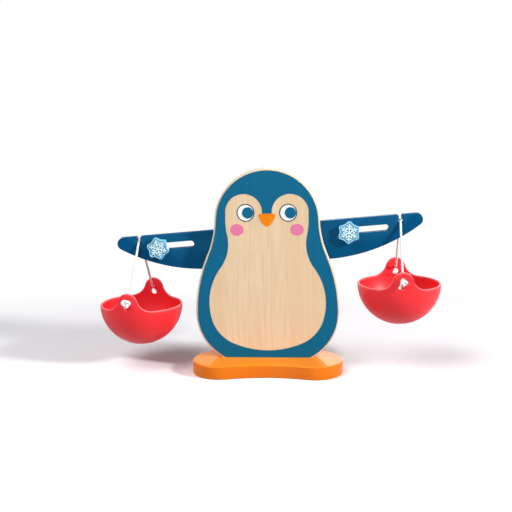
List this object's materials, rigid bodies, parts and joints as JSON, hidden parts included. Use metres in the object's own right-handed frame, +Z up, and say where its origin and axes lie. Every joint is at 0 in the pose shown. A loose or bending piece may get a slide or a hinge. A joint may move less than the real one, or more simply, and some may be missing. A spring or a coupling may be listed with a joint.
{
  "type": "toy balance scale",
  "caption": "Wooden penguin balance scale toy: a wing beam tilts on the board, pails hang from it on cords, and snowflake knobs slide along it to trim the balance.",
  "frame": {"origin": "on the table, under the middle of the penguin board's thickness and width", "axes": "+X to the viewer's right, +Y to the back, +Z up"},
  "size_m": [0.384, 0.1101, 0.2263],
  "materials": {
    "orange_paint": "gloss",
    "bare_wood": "satin",
    "blue_paint": "satin",
    "blue_ink": "satin",
    "white_ink": "satin",
    "navy_ink": "satin",
    "orange_ink": "satin",
    "pink_ink": "satin",
    "steel": "satin",
    "brass": "satin",
    "dowel_wood": "matte",
    "flake_plastic": "gloss",
    "cord_white": "matte",
    "pail_red": "satin"
  },
  "bodies": {
    "stand": {"base_plate": "orange_paint", "body_board": "bare_wood", "plumage_print": "blue_ink", "eye_whites": "white_ink", "eye_rings": "navy_ink", "pupils": "blue_ink", "beak_print": "orange_ink", "cheek_prints": "pink_ink", "base_screws": "steel", "base_dowels": "dowel_wood", "pivot_insert": "brass", "pivot_bolt": "steel", "pivot_sleeve": "steel", "spacer_washer": "steel", "rear_washer": "steel"},
    "wing_beam": {"beam": "blue_paint"},
    "left_clamp": {"left_clamp_bolt": "steel", "left_clamp_washer": "steel"},
    "left_knob": {"left_snowflake": "flake_plastic", "left_knob_insert": "brass"},
    "left_sling": {"left_cord": "cord_white", "left_knots": "cord_white"},
    "left_bucket": {"left_pail": "pail_red"},
    "right_clamp": {"right_clamp_bolt": "steel", "right_clamp_washer": "steel"},
    "right_knob": {"right_snowflake": "flake_plastic", "right_knob_insert": "brass"},
    "right_sling": {"right_cord": "cord_white", "right_knots": "cord_white"},
    "right_bucket": {"right_pail": "pail_red"}
  },
  "joints": [
    {"name": "beam_tilt", "type": "hinge", "parent": "stand", "child": "wing_beam", "pos_m": [0, 0.0133, 0.1685], "axis": [0, 1, 0], "range_deg": [-7.25, 16.75]},
    {"name": "left_knob_slide", "type": "slide", "parent": "wing_beam", "child": "left_clamp", "axis": [0.9966, 0, 0.0828], "range_m": [-0.0044, 0.0366]},
    {"name": "left_knob_turn", "type": "hinge", "parent": "left_clamp", "child": "left_knob", "pos_m": [-0.12238, 0.005, 0.13666], "axis": [0, 1, 0], "continuous": true},
    {"name": "right_knob_slide", "type": "slide", "parent": "wing_beam", "child": "right_clamp", "axis": [0.9966, 0, 0.0828], "range_m": [-0.0004, 0.0406]},
    {"name": "right_knob_turn", "type": "hinge", "parent": "right_clamp", "child": "right_knob", "pos_m": [0.08989, 0.005, 0.15429], "axis": [0, 1, 0], "continuous": true},
    {"name": "left_sling_swing", "type": "hinge", "parent": "wing_beam", "child": "left_sling", "pos_m": [-0.14439, 0.0133, 0.14301], "axis": [0, 1, 0], "range_deg": [-16.75, 7.25]},
    {"name": "left_pail_tip", "type": "hinge", "parent": "left_sling", "child": "left_bucket", "pos_m": [-0.14439, 0.0133, 0.08221], "axis": [0.1736, 0.9848, 0], "range_deg": [-27, 85]},
    {"name": "right_sling_swing", "type": "hinge", "parent": "wing_beam", "child": "right_sling", "pos_m": [0.14661, 0.0133, 0.16719], "axis": [0, 1, 0], "range_deg": [-16.75, 7.25]},
    {"name": "right_pail_tip", "type": "hinge", "parent": "right_sling", "child": "right_bucket", "pos_m": [0.14661, 0.0133, 0.10639], "axis": [0, 1, 0], "range_deg": [-85, 27]}
  ],
  "couplings": [
    {"joint": "left_sling_swing", "follows": "beam_tilt", "ratio": -1},
    {"joint": "right_sling_swing", "follows": "beam_tilt", "ratio": -1}
  ]
}
